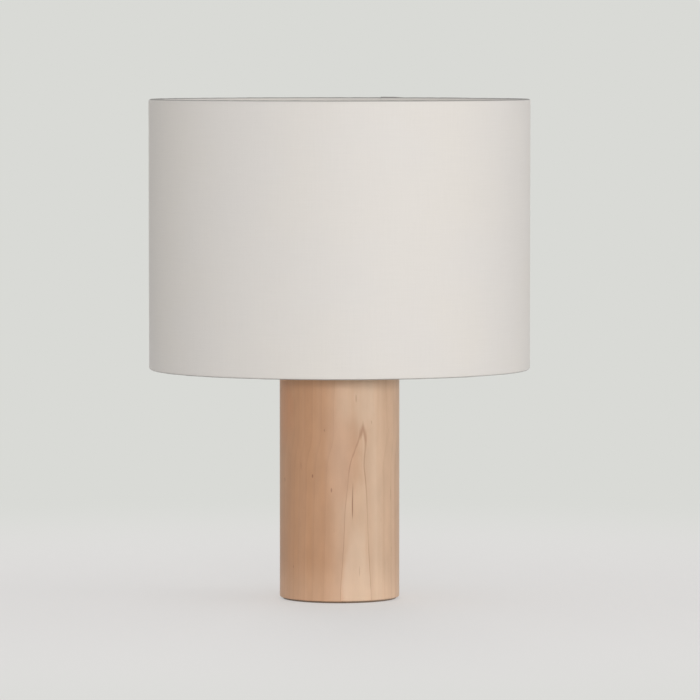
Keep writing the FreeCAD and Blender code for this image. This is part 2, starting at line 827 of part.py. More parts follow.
def bulb_cap():
    """Thin threaded metal cap: lip round the insulator, thread, and a plain collar."""
    root_r = LAMP_THREAD_D / 2 - LAMP_THREAD_DEPTH
    lip_r = BULB_GLAZE_D / 2 + FIT_GAP
    z0, z1 = BULB_CAP_Z, BULB_THREAD_Z
    top = BULB_HOUSING_Z
    lip = spin((0, z0), (lip_r + FIT_GAP, z0), (root_r - FIT_GAP, z1), (0, z1))
    body = lip.fuse(threaded(LAMP_MEAN_R, LAMP_THREAD_DEPTH, LAMP_PITCH, z1, BULB_COLLAR_Z))
    body = body.fuse(rod(BULB_COLLAR_D, BULB_COLLAR_Z, top))
    body = body.cut(rod(2 * lip_r, z0, top))
    return body.cut(rod(BULB_CAP_BORE_D, BULB_Z0 + BULB_GLAZE_H + BULB_TIP_H, top))


def bulb_housing():
    """White lower half of the bulb, which flares from the cap to the dome."""
    z0, z1 = BULB_HOUSING_Z, BULB_DOME_Z
    r0, r1 = BULB_COLLAR_D / 2, BULB_DOME_R
    spigot = BULB_CAP_BORE_D / 2 - FIT_GAP
    w = BULB_WALL
    waist = z0 + BULB_HOUSING_H * 0.12
    bulge = (r0 + (r1 - r0) * 0.56, waist + (z1 - waist) * 0.45)
    inner_bulge = (bulge[0] - w, bulge[1] + w * 0.4)
    board = BOARD_Z
    ledge = board_r() - w
    return spin(
        (spigot - w, z0 - BULB_SPIGOT_H),
        (spigot, z0 - BULB_SPIGOT_H),
        (spigot, z0),
        (r0, z0),
        (r0, waist),
        (bulge, (r1, z1)),
        (board_r() + FIT_GAP, z1),
        (board_r() + FIT_GAP, board),
        (ledge, board),
        (ledge, board - w),
        (inner_bulge, (spigot - w, waist)),
    )


def board_r():
    return BULB_DOME_R - 2 * BULB_WALL


def bulb_dome():
    """Opal upper half: a ball cut off below its widest place."""
    r = BULB_D / 2
    low = BULB_DOME_Z
    middle = low + BULB_DOME_LOW
    inner_r = r - BULB_WALL
    inner_low = math.sqrt(inner_r**2 - BULB_DOME_LOW**2)
    side = math.sqrt(0.5)
    return spin(
        (inner_low, low),
        (BULB_DOME_R, low),
        ((r, middle), (r * side, middle + r * side)),
        ((r * 0.5, middle + r * math.sqrt(0.75)), (0, middle + r)),
        (0, middle + inner_r),
        ((inner_r * 0.5, middle + inner_r * math.sqrt(0.75)), (inner_r * side, middle + inner_r * side)),
        ((inner_r, middle), (inner_low, low)),
    )


def led_board():
    return rod(2 * board_r(), BOARD_Z, BOARD_Z + BOARD_T)


def led_chips():
    places = around(CHIP_COUNT, board_r() * CHIP_RING)
    chips = [box(CHIP_SIZE, CHIP_SIZE, CHIP_T, x, y, BOARD_Z + BOARD_T) for x, y in places]
    return Part.makeCompound(chips)


def driver_board():
    """Upright circuit board in the housing, with a capacitor and a coil on its faces."""
    low = BOARD_Z - DRIVER_H
    board = box(DRIVER_W, DRIVER_T, DRIVER_H, 0, 0, low)
    face = DRIVER_T / 2
    capacitor = rod(CAPACITOR_D, BOARD_Z - CAPACITOR_H * 2, BOARD_Z - CAPACITOR_H, 0, face + CAPACITOR_D / 2)
    coil = box(COIL_W, COIL_T, COIL_W, 0, -face - COIL_T / 2, BOARD_Z - CAPACITOR_H * 1.5)
    return Part.makeCompound([board, capacitor, coil])


PIECES = {
    "foot_pad": foot_pad,
    "column": column,
    "base_plate": base_plate,
    "base_screws": base_screws,
    "threaded_tube": threaded_tube,
    "bottom_washer": bottom_washer,
    "bottom_nut": bottom_nut,
    "top_plate": top_plate,
    "top_nut": top_nut,
    "cord_gland": cord_gland,
    "cord_clamp": cord_clamp,
    "clamp_screws": clamp_screws,
    "terminal_block": terminal_block,
    "terminal_block_screws": terminal_block_screws,
    "inner_wires": inner_wires,
    "holder_cap": holder_cap,
    "holder_grub_screw": holder_grub_screw,
    "holder_skirt": holder_skirt,
    "holder_insulator": holder_insulator,
    "holder_terminals": holder_terminals,
    "socket_shell": socket_shell,
    "centre_contact": centre_contact,
    "shade_fabric": shade_fabric,
    "shade_liner": shade_liner,
    "shade_top_wire": lambda: wire_ring(False),
    "shade_bottom_wire": lambda: wire_ring(True),
    "spider_arms": spider_arms,
    "fitter_ring": fitter_ring,
    "clamp_washer": clamp_washer,
    "shade_ring": shade_ring,
    "bulb_tip": bulb_tip,
    "bulb_insulator": bulb_insulator,
    "bulb_cap": bulb_cap,
    "bulb_housing": bulb_housing,
    "bulb_dome": bulb_dome,
    "led_board": led_board,
    "led_chips": led_chips,
    "driver_board": driver_board,
}


def main():
    os.makedirs("parts", exist_ok=True)
    for name, make in PIECES.items():
        shape = make()
        count = len(shape.Solids)
        print(f"{name}: {count} solids, {shape.Volume / 1000:.2f} cm3, valid {shape.isValid()}")
        shape.exportStep(f"parts/{name}.step")


main()
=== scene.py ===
"""Column table lamp: looks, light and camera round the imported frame. Metres, +Z up, the front is -Y."""

import math

import bpy
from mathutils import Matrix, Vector, noise


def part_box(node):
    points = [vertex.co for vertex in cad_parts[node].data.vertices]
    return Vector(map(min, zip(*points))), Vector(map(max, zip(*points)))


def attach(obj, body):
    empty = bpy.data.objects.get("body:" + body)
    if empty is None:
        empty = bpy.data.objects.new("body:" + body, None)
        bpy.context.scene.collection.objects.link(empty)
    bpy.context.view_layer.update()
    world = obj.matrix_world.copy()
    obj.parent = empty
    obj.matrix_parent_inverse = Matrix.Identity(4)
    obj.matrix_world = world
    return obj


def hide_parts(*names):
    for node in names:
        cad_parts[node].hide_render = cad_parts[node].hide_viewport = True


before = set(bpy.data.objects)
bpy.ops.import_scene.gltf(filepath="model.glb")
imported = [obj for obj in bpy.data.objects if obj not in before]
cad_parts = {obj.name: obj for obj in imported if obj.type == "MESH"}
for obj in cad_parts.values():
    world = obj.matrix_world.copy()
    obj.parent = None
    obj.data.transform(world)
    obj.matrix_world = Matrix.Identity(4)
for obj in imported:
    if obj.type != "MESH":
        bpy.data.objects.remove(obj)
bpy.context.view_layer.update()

# Camera
FRAME_PX = 700
FOCAL_PX = 5487.0
SENSOR_MM = 36.0
CLIP_END = 50.0
CAMERA_PLACE = (0.0096, -5.036, 0.503)
CAMERA_PITCH_DOWN = 3.121

# Studio: low soft boxes, a sky that is brighter overhead, and a pale floor
AIM = (0.0, 0.0, 0.24)
SOFT_BOXES = [
    # name, degrees from the front towards +X, metres away, height, width, depth, watts
    ("front_box", 2.0, 3.6, 0.57, 1.9, 0.22, 46.0),
    ("side_box", 75.0, 3.6, 0.60, 1.9, 0.35, 23.0),
    ("back_box", 186.0, 3.6, 0.80, 1.9, 0.60, 26.0),
]
SKY_STRENGTH = 0.450
SKY_OVERHEAD = 1.50
SKY_BAND = (0.55, 0.85)
LAMP_TINT = (1.0, 0.995, 0.985)
BACKDROP = (0.694, 0.701, 0.672)
FLOOR_TONE = (0.86, 0.85, 0.84)
FLOOR_DRIFT = 0.985
FLOOR_GLOW = (0.815, 0.80, 0.79)
FLOOR_SIDE = 14.0
FLOOR_FADE_START = 0.22
FLOOR_FADE_END = 1.15
FLOOR_LIFT = 0.50
FLOOR_DROP = 0.0002

# Wood: growth rings about a pith behind the column, and the tones across it
COLUMN_R = 0.055
PITH_DISTANCE = 0.090
CREST_ANGLE = 16.7
CREST_HEIGHT = 0.160
CREST_SHIFT = 0.0056
RING_PITCH = 0.0042
RING_LEAN = 0.0080
RING_DRIFT = 0.0060
LINE_PHASE = 0.985
LINE_WIDTH = 0.018
WOOD_PALE = (0.682, 0.484, 0.336)
WOOD_DEEP = (0.550, 0.297, 0.161)
WOOD_ROSE = (0.575, 0.345, 0.215)
WOOD_LATE = (0.365, 0.175, 0.098)
WOOD_SPECK = (0.290, 0.125, 0.070)
WOOD_CREAM = (0.745, 0.570, 0.425)
WOOD_RUSSET = (0.575, 0.275, 0.138)
PALE_FROM = -0.034
PALE_TO = 0.031
PALE_BEND = 1.6
ROSE_STREAKS = 0.26
ROSE_BROAD = 0.12
LATE_SHARE = 0.11
RING_SHARE = 0.07
LINE_SHARE = 0.62
FLECK_SHARE = 0.22
FLECK_RARITY = 0.965
FIBRE_DEPTH = 0.07
MOTTLE_DEPTH = 0.22
FAINT_LINES = 0.45
# Noise cells in a metre, across and along the grain
WANDER_CELLS = (16.0, 9.0)
BREAK_CELLS = (30.0, 26.0)
BROAD_CELLS = (30.0, 2.2)
STREAK_CELLS = (150.0, 3.5)
MOTTLE_CELLS = (75.0, 34.0)
FIBRE_CELLS = (1500.0, 60.0)
FLECK_CELLS = (420.0, 60.0)
# Painted light near the foot: how high it reaches, a paler tone and a cream blend
FOOT_PAINTED_LIGHT_H = 0.045
FOOT_PAINTED_LIGHT_TONE = 1.12
FOOT_PAINTED_LIGHT_CREAM = 0.22
WOOD_CLOUDS = [
    # degrees from the front towards +X, height, length, width, strength, colour
    (1.0, 0.1300, 0.100, 0.044, 0.78, WOOD_ROSE),
    (20.0, 0.0240, 0.116, 0.030, 0.44, WOOD_CREAM),
    (22.0, 0.1850, 0.060, 0.026, 0.40, WOOD_CREAM),
    (-63.0, 0.1900, 0.120, 0.034, 0.62, WOOD_RUSSET),
]
WOOD_MARKS = [
    # degrees from the front towards +X, height, length, width, strength
    (12.9, 0.0940, 0.040, 0.0013, 0.55),
    (13.2, 0.0880, 0.026, 0.0012, 0.60),
    (-15.0, 0.1580, 0.003, 0.0014, 0.50),
    (-27.2, 0.1160, 0.004, 0.0019, 0.75),
    (-7.9, 0.1035, 0.005, 0.0019, 0.60),
    (-65.0, 0.1110, 0.005, 0.0016, 0.70),
    (31.8, 0.1650, 0.004, 0.0012, 0.30),
    (15.5, 0.1870, 0.009, 0.0018, 0.30),
    (58.5, 0.0980, 0.018, 0.0012, 0.28),
    (19.9, 0.0290, 0.012, 0.0012, 0.24),
    (-40.5, 0.1250, 0.008, 0.0013, 0.25),
    (-50.0, 0.0320, 0.003, 0.0013, 0.40),
]

# Cloth: plain weave
THREAD_PITCH = 0.0009
WEAVE_DEPTH = 0.00004
THREAD_TONE = 0.045
SLUB_TONE = -0.04
CLOTH_COOL = (0.735, 0.706, 0.676)
CLOTH_WARM = (0.745, 0.710, 0.668)
# Painted shade on the crest of each rim fold: its height and tone
PAINTED_RIM_SHADE_H = 0.0011
PAINTED_RIM_SHADE_TONE = 0.44

# Shade cover, as it is cut and glued
CLOTH_T = 0.0007
WIRE_R = 0.0015
FOLD_PLAY = 0.00015
LINER_T = 0.0005
HEM_H = 0.012
SEAM_LAP = 0.012
SEAM_ANGLE = 75.0
SEAM_LIFT = 0.00055
SEAM_RUN = 4.0
LAP_STEPS = 6
WALL_WAVES = 14.0
WALL_WAVE_H = 0.00018
HEM_WAVES = 130.0
HEM_WAVE_H = 0.00016
WALL_REACH = 0.25
CLOTH_FILL = 0.9
COLUMNS_ROUND = 360
WALL_ROWS = 60
FOLD_ROWS = 10


# Small helpers for shader nodes


def put(tree, kind, values=None, **settings):
    """Adds a node. A value is a number, a colour or the socket that feeds it."""
    node = tree.nodes.new(kind)
    for name, setting in settings.items():
        setattr(node, name, setting)
    for key, value in (values or {}).items():
        if isinstance(value, bpy.types.NodeSocket):
            tree.links.new(value, node.inputs[key])
        else:
            node.inputs[key].default_value = value
    return node


def calc(tree, operation, *values):
    """Result of a maths node."""
    return put(tree, "ShaderNodeMath", dict(enumerate(values)), operation=operation).outputs[0]


def stretched(tree, vector, across, along):
    """The vector scaled by across in X and Y, and by along in Z."""
    values = {0: vector, 1: (across, across, along)}
    return put(tree, "ShaderNodeVectorMath", values, operation="MULTIPLY").outputs[0]


def cloud(tree, vector, scale=1.0, detail=3.0, roughness=0.5, distortion=0.0):
    """Noise from 0 to 1, with 0.5 in the middle."""
    values = {
        "Vector": vector,
        "Scale": scale,
        "Detail": detail,
        "Roughness": roughness,
        "Distortion": distortion,
    }
    return put(tree, "ShaderNodeTexNoise", values).outputs[0]


def between(tree, value, low, high, to_low=0.0, to_high=1.0):
    """A smooth step of the value from one range to another."""
    values = {0: value, 1: low, 2: high, 3: to_low, 4: to_high}
    node = put(tree, "ShaderNodeMapRange", values, interpolation_type="SMOOTHSTEP", clamp=True)
    return node.outputs[0]


def blended(tree, factor, first, second, mode="MIX"):
    """Colour mixed from two."""
    node = put(tree, "ShaderNodeMix", data_type="RGBA", blend_type=mode)
    for key, value in ((0, factor), (6, first), (7, second)):
        if isinstance(value, bpy.types.NodeSocket):
            tree.links.new(value, node.inputs[key])
        else:
            node.inputs[key].default_value = (*value, 1.0) if key else value
    return node.outputs[2]


def raised(tree, height, distance, strength=1.0):
    """Normal from a height in metres times distance."""
    values = {"Height": height, "Distance": distance, "Strength": strength}
    return put(tree, "ShaderNodeBump", values).outputs[0]


def place(tree):
    """The piece's own coordinates, in metres."""
    return put(tree, "ShaderNodeTexCoord").outputs["Object"]


def material(name, metallic=0.0, **plain):
    """Material with a Principled shader, and the tree and shader to dress it with."""
    mat = bpy.data.materials.new(name)
    mat.use_nodes = True
    tree = mat.node_tree
    shader = tree.nodes["Principled BSDF"]
    shader.inputs["Metallic"].default_value = metallic
    for key, value in plain.items():
        shader.inputs[key.replace("_", " ").title()].default_value = value
    return mat, tree, shader


def group(name, inputs, outputs):
    """Empty node group with named float, vector or colour sockets."""
    tree = bpy.data.node_groups.new(name, "ShaderNodeTree")
    for key, kind, value in inputs:
        socket = tree.interface.new_socket(key, in_out="INPUT", socket_type=f"NodeSocket{kind}")
        if value is not None:
            socket.default_value = value
    for key, kind in outputs:
        tree.interface.new_socket(key, in_out="OUTPUT", socket_type=f"NodeSocket{kind}")
    source = tree.nodes.new("NodeGroupInput").outputs
    result = tree.nodes.new("NodeGroupOutput").inputs
    return tree, source, result


def feed(tree, socket, target):
    """Links an output to an input."""
    tree.links.new(socket, target)


# Effects shared by materials


def make_handling():
    """Faint marks of handling: a tone to multiply by, a roughness, and a fine surface height."""
    inputs = [
        ("Vector", "Vector", None),
        ("Spread", "Float", 60.0),
        ("Tone Change", "Float", 0.05),
        ("Roughness", "Float", 0.5),
        ("Roughness Change", "Float", 0.1),
        ("Grit", "Float", 2500.0),
    ]
    outputs = [("Tone", "Float"), ("Roughness", "Float"), ("Height", "Float")]
    tree, source, result = group("handling_marks", inputs, outputs)
    broad = cloud(tree, source["Vector"], source["Spread"], 5.0, 0.6, 0.4)
    off = calc(tree, "SUBTRACT", broad, 0.5)
    tone = calc(tree, "MULTIPLY_ADD", off, source["Tone Change"], 1.0)
    rough = calc(tree, "MULTIPLY_ADD", off, source["Roughness Change"], source["Roughness"])
    fine = cloud(tree, source["Vector"], source["Grit"], 2.0)
    feed(tree, tone, result["Tone"])
    feed(tree, rough, result["Roughness"])
    feed(tree, fine, result["Height"])
    return tree


def make_turning():
    """Fine rings left on a turned or spun face about the lamp's axis, as a height."""
    inputs = [("Vector", "Vector", None), ("Pitch", "Float", 0.0003)]
    tree, source, result = group("turning_rings", inputs, [("Height", "Float")])
    parts = put(tree, "ShaderNodeSeparateXYZ", {0: source["Vector"]}).outputs
    squares = calc(tree, "ADD", calc(tree, "POWER", parts[0], 2.0), calc(tree, "POWER", parts[1], 2.0))
    radius = calc(tree, "SQRT", squares)
    travel = calc(tree, "ADD", radius, parts[2])
    steps = calc(tree, "DIVIDE", travel, source["Pitch"])
    line = put(tree, "ShaderNodeCombineXYZ", {0: steps, 1: 0.0, 2: 0.0}).outputs[0]
    feed(tree, cloud(tree, line, 1.0, 2.0, 0.7), result["Height"])
    return tree


handling = make_handling()
turning = make_turning()


def handled(
    tree,
    shader,
    colour,
    roughness,
    spread=60.0,
    tone=0.06,
    change=0.12,
    grit=2500.0,
    depth=0.00002,
):
    """Dresses a shader in a plain colour with handling marks and a fine surface."""
    node = put(tree, "ShaderNodeGroup", node_tree=handling)
    feed(tree, place(tree), node.inputs["Vector"])
    node.inputs["Spread"].default_value = spread
    node.inputs["Tone Change"].default_value = tone
    node.inputs["Roughness"].default_value = roughness
    node.inputs["Roughness Change"].default_value = change
    node.inputs["Grit"].default_value = grit
    scaled = put(tree, "ShaderNodeVectorMath", {0: colour, 3: node.outputs["Tone"]}, operation="SCALE")
    feed(tree, scaled.outputs[0], shader.inputs["Base Color"])
    feed(tree, node.outputs["Roughness"], shader.inputs["Roughness"])
    feed(tree, raised(tree, node.outputs["Height"], depth), shader.inputs["Normal"])


# Materials


def growth_rings(tree, at, parts, wander):
    """Count of growth rings from the figure's crest at the front, which is drawn to one side."""
    drawn = between(tree, parts[2], CREST_HEIGHT - 0.038, CREST_HEIGHT - 0.004, 0.0, -CREST_SHIFT)
    drawn = calc(tree, "MULTIPLY_ADD", wander, RING_DRIFT, drawn)
    angle = calc(tree, "MULTIPLY_ADD", drawn, 1.0 / COLUMN_R, -math.radians(CREST_ANGLE))
    turned = put(tree, "ShaderNodeVectorRotate", {"Vector": at, "Angle": angle}, rotation_type="Z_AXIS")
    turned = put(tree, "ShaderNodeSeparateXYZ", {0: turned.outputs[0]}).outputs
    across = turned[0]
    along = calc(tree, "SUBTRACT", PITH_DISTANCE, turned[1])
    squares = calc(tree, "ADD", calc(tree, "POWER", along, 2.0), calc(tree, "POWER", across, 2.0))
    radius = calc(tree, "SUBTRACT", calc(tree, "SQRT", squares), COLUMN_R + PITH_DISTANCE)
    lean = calc(tree, "MULTIPLY_ADD", parts[2], -RING_LEAN, RING_LEAN * CREST_HEIGHT)
    count = calc(tree, "DIVIDE", calc(tree, "ADD", radius, lean), RING_PITCH)
    return calc(tree, "ADD", count, LINE_PHASE)


def turned_wood():
    """Pale wood: broad tones across the column, fine ring lines, streaks, fibres, specks and marks, and
    painted light near the foot.
    """
    mat, tree, shader = material("turned_wood", coat_weight=0.12, coat_roughness=0.42)
    shader.inputs["Specular IOR Level"].default_value = 0.4
    at = place(tree)
    parts = put(tree, "ShaderNodeSeparateXYZ", {0: at}).outputs
    wander = calc(tree, "SUBTRACT", cloud(tree, stretched(tree, at, *WANDER_CELLS), 1.0, 4.0, 0.55), 0.5)
    count = growth_rings(tree, at, parts, wander)
    phase = calc(tree, "FRACT", count)
    fall = between(tree, phase, LINE_PHASE, 1.0, 1.0, 0.0)
    late = calc(tree, "MULTIPLY", between(tree, phase, 0.62, LINE_PHASE), fall)
    line = calc(tree, "MULTIPLY", between(tree, phase, LINE_PHASE - LINE_WIDTH, LINE_PHASE), fall)
    # Each ring is a little lighter or darker than the next, and its line stronger or fainter
    ring_step = put(tree, "ShaderNodeCombineXYZ", {0: calc(tree, "FLOOR", count), 1: 0.0, 2: 0.0})
    ring_tone = cloud(tree, ring_step.outputs[0], 0.77, 1.0)
    broken = cloud(tree, stretched(tree, at, *BREAK_CELLS), 1.0, 2.0)
    line = calc(tree, "MULTIPLY", line, between(tree, broken, 0.25, 0.6, 0.35, 1.0))
    line = calc(tree, "MULTIPLY", line, between(tree, count, 0.1, 0.6, FAINT_LINES, 1.0))
    broad = cloud(tree, stretched(tree, at, *BROAD_CELLS), 1.0, 2.0)
    streak = cloud(tree, stretched(tree, at, *STREAK_CELLS), 1.0, 4.0, 0.55, 0.3)
    mottle = cloud(tree, stretched(tree, at, *MOTTLE_CELLS), 1.0, 3.0, 0.5)
    fibre = cloud(tree, stretched(tree, at, *FIBRE_CELLS), 1.0, 3.0, 0.7)
    # Warm on the left, palest right of the middle, a little warmer at the right edge, and clouded
    slide = calc(tree, "MULTIPLY_ADD", parts[2], 0.03, parts[0])
    slide = calc(tree, "MULTIPLY_ADD", calc(tree, "SUBTRACT", broad, 0.5), 0.030, slide)
    pale = calc(tree, "POWER", between(tree, slide, PALE_FROM, PALE_TO), PALE_BEND)
    pale = calc(tree, "MULTIPLY", pale, between(tree, slide, 0.036, 0.056, 1.0, 0.7))
    colour = blended(tree, pale, WOOD_DEEP, WOOD_PALE)
    colour = blended(tree, between(tree, streak, 0.42, 0.66, 0.0, ROSE_STREAKS), colour, WOOD_ROSE)
    colour = blended(tree, between(tree, broad, 0.60, 0.40, 0.0, ROSE_BROAD), colour, WOOD_ROSE)
    cloud_bend = calc(tree, "MULTIPLY", wander, 0.05)
    for *shape, tint in WOOD_CLOUDS:
        colour = blended(tree, wood_mark(tree, parts, cloud_bend, *shape), colour, tint)
    # Painted light: the foot is blended towards cream
    painted_foot_light = between(tree, parts[2], 0.0, FOOT_PAINTED_LIGHT_H, FOOT_PAINTED_LIGHT_CREAM, 0.0)
    colour = blended(tree, painted_foot_light, colour, WOOD_CREAM)
    colour = blended(tree, calc(tree, "MULTIPLY", late, LATE_SHARE), colour, WOOD_LATE)
    colour = blended(tree, between(tree, ring_tone, 0.40, 0.62, 0.0, RING_SHARE), colour, WOOD_LATE)
    colour = blended(tree, calc(tree, "MULTIPLY", line, LINE_SHARE), colour, WOOD_LATE)
    shade = calc(tree, "MULTIPLY_ADD", calc(tree, "SUBTRACT", fibre, 0.5), FIBRE_DEPTH, 1.0)
    shade = calc(tree, "MULTIPLY_ADD", calc(tree, "SUBTRACT", mottle, 0.5), MOTTLE_DEPTH, shade)
    # Painted light: paler towards the foot, as a tone in the wood, because the lamps don't light it that
    # way
    shade = calc(tree, "MULTIPLY", shade, between(tree, parts[2], 0.0, FOOT_PAINTED_LIGHT_H, FOOT_PAINTED_LIGHT_TONE, 1.0))
    colour = put(tree, "ShaderNodeVectorMath", {0: colour, 3: shade}, operation="SCALE").outputs[0]
    colour = blended(tree, calc(tree, "MULTIPLY", flecks(tree, at), FLECK_SHARE), colour, WOOD_SPECK)
    bend = calc(tree, "MULTIPLY", wander, 0.006)
    for mark in WOOD_MARKS:
        colour = blended(tree, wood_mark(tree, parts, bend, *mark), colour, WOOD_SPECK)
    feed(tree, colour, shader.inputs["Base Color"])
    rough = calc(tree, "MULTIPLY_ADD", streak, 0.12, 0.42)
    feed(tree, rough, shader.inputs["Roughness"])
    height = calc(tree, "MULTIPLY_ADD", line, 0.3, fibre)
    feed(tree, raised(tree, height, 0.00002), shader.inputs["Normal"])
    return mat


def flecks(tree, at):
    """Short, thin pores scattered over the wood."""
    cells = put(
        tree,
        "ShaderNodeTexVoronoi",
        {"Vector": stretched(tree, at, *FLECK_CELLS), "Scale": 1.0, "Randomness": 1.0},
    )
    near = between(tree, cells.outputs["Distance"], 0.05, 0.22, 1.0, 0.0)
    chosen = put(tree, "ShaderNodeSeparateColor", {0: cells.outputs["Color"]}).outputs[0]
    return calc(tree, "MULTIPLY", near, calc(tree, "GREATER_THAN", chosen, FLECK_RARITY))


def wood_mark(tree, parts, bend, angle, height, length, width, strength):
    """One soft upright mark at a place on the column's side."""
    turn = math.radians(angle)
    side_x, side_y = math.cos(turn), math.sin(turn)
    across = calc(tree, "MULTIPLY_ADD", parts[0], side_x, calc(tree, "MULTIPLY", parts[1], side_y))
    outward = calc(tree, "MULTIPLY_ADD", parts[0], side_y, calc(tree, "MULTIPLY", parts[1], -side_x))
    across = calc(tree, "ADD", across, bend)
    up = calc(tree, "DIVIDE", calc(tree, "SUBTRACT", parts[2], height), length / 2)
    aside = calc(tree, "DIVIDE", across, width / 2)
    far = calc(tree, "ADD", calc(tree, "POWER", up, 2.0), calc(tree, "POWER", aside, 2.0))
    spot = between(tree, far, 0.2, 1.0, strength, 0.0)
    return calc(tree, "MULTIPLY", spot, calc(tree, "GREATER_THAN", outward, 0.0))


(_, _, SHADE_LOW), (SHADE_R, _, SHADE_HIGH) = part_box("shade_fabric")
SHADE_MIDDLE = (SHADE_LOW + SHADE_HIGH) / 2
SHADE_HALF = SHADE_HIGH - SHADE_MIDDLE


def woven_cloth():
    """Off-white plain weave with a few thicker threads, and painted shade on the crest of each rim fold."""
    mat, tree, shader = material("woven_cloth", roughness=0.92, sheen_weight=0.12, sheen_roughness=0.5)
    shader.inputs["Specular IOR Level"].default_value = 0.2
    at = place(tree)
    parts = put(tree, "ShaderNodeSeparateXYZ", {0: at}).outputs
    round_it = calc(tree, "MULTIPLY", calc(tree, "ARCTAN2", parts[1], parts[0]), SHADE_R)
    flat = put(tree, "ShaderNodeCombineXYZ", {0: round_it, 1: 0.0, 2: parts[2]}).outputs[0]
    warp = calc(tree, "SINE", calc(tree, "MULTIPLY", round_it, 2 * math.pi / THREAD_PITCH))
    weft = calc(tree, "SINE", calc(tree, "MULTIPLY", parts[2], 2 * math.pi / THREAD_PITCH))
    over = calc(tree, "MULTIPLY", warp, weft)
    upright = cloud(tree, threads(tree, flat, 900.0, 28.0), 1.0, 3.0, 0.6)
    level = cloud(tree, threads(tree, flat, 28.0, 900.0), 1.0, 3.0, 0.6)
    slub_level = between(tree, cloud(tree, threads(tree, flat, 60.0, 1100.0), 1.0, 2.0), 0.70, 0.80)
    slub_upright = between(tree, cloud(tree, threads(tree, flat, 1100.0, 60.0), 1.0, 2.0), 0.71, 0.81)
    slubs = calc(tree, "MAXIMUM", slub_level, slub_upright)
    mixed = calc(tree, "ADD", upright, level)
    tone = calc(tree, "MULTIPLY_ADD", calc(tree, "SUBTRACT", mixed, 1.0), THREAD_TONE, 1.0)
    tone = calc(tree, "MULTIPLY_ADD", slubs, SLUB_TONE, tone)
    # Painted shade: the rim shows a fine dark line, so the crest of each fold is toned down. Its cause
    # isn't known
    from_middle = calc(tree, "ABSOLUTE", calc(tree, "SUBTRACT", parts[2], SHADE_MIDDLE))
    painted_rim_shade = between(tree, from_middle, SHADE_HALF - PAINTED_RIM_SHADE_H, SHADE_HALF - PAINTED_RIM_SHADE_H / 3, 1.0, PAINTED_RIM_SHADE_TONE)
    tone = calc(tree, "MULTIPLY", tone, painted_rim_shade)
    broad = cloud(tree, at, 9.0, 2.0)
    colour = blended(tree, between(tree, broad, 0.3, 0.7), CLOTH_COOL, CLOTH_WARM)
    colour = put(tree, "ShaderNodeVectorMath", {0: colour, 3: tone}, operation="SCALE").outputs[0]
    feed(tree, colour, shader.inputs["Base Color"])
    height = calc(tree, "MULTIPLY_ADD", over, 0.35, mixed)
    height = calc(tree, "MULTIPLY_ADD", slubs, 0.9, height)
    feed(tree, raised(tree, height, WEAVE_DEPTH), shader.inputs["Normal"])
    return mat


def threads(tree, flat, across, along):
    """The cloth's coordinates drawn out along one set of threads."""
    values = {0: flat, 1: (across, 1.0, along)}
    return put(tree, "ShaderNodeVectorMath", values, operation="MULTIPLY").outputs[0]


def plain_piece(name, colour, roughness, metallic=0.0, **marks):
    """Moulded, painted or plated piece: one colour with handling marks."""
    mat, tree, shader = material(name, metallic)
    handled(tree, shader, colour, roughness, **marks)
    return mat


def coated_piece(name, colour, roughness, coat, **marks):
    """Glazed or lacquered piece: as a plain piece, with a clear coat."""
    mat, tree, shader = material(name, 0.0, coat_weight=coat, coat_roughness=0.12)
    handled(tree, shader, colour, roughness, **marks)
    return mat


def spun_metal(name, colour, roughness, depth=0.00001):
    """Metal turned about the lamp's axis, with fine rings."""
    mat, tree, shader = material(name, 1.0)
    handled(tree, shader, colour, roughness, tone=0.05, change=0.07)
    rings = put(tree, "ShaderNodeGroup", node_tree=turning)
    feed(tree, place(tree), rings.inputs["Vector"])
    feed(tree, raised(tree, rings.outputs["Height"], depth), shader.inputs["Normal"])
    return mat


def felt():
    """Brown pressed felt with loose fibres."""
    mat, tree, shader = material("felt", roughness=1.0, sheen_weight=0.3, sheen_roughness=0.6)
    at = place(tree)
    fibres = cloud(tree, at, 900.0, 6.0, 0.8, 1.2)
    colour = blended(tree, fibres, (0.150, 0.100, 0.066), (0.300, 0.215, 0.150))
    feed(tree, colour, shader.inputs["Base Color"])
    feed(tree, raised(tree, fibres, 0.0004), shader.inputs["Normal"])
    return mat


def pressed_fibre():
    """Red-brown vulcanised fibre with short mottled streaks."""
    mat, tree, shader = material("pressed_fibre", roughness=0.7)
    at = place(tree)
    mottle = cloud(tree, at, 700.0, 5.0, 0.7)
    colour = blended(tree, mottle, (0.20, 0.055, 0.035), (0.34, 0.12, 0.08))
    feed(tree, colour, shader.inputs["Base Color"])
    feed(tree, raised(tree, mottle, 0.00006), shader.inputs["Normal"])
    return mat


def opal():
    """Milky diffuser."""
    mat, tree, shader = material("opal", subsurface_weight=0.35, subsurface_scale=0.006)
    shader.inputs["Subsurface Radius"].default_value = (1.0, 0.95, 0.9)
    handled(tree, shader, (0.86, 0.86, 0.84), 0.32, tone=0.02, change=0.06)
    return mat


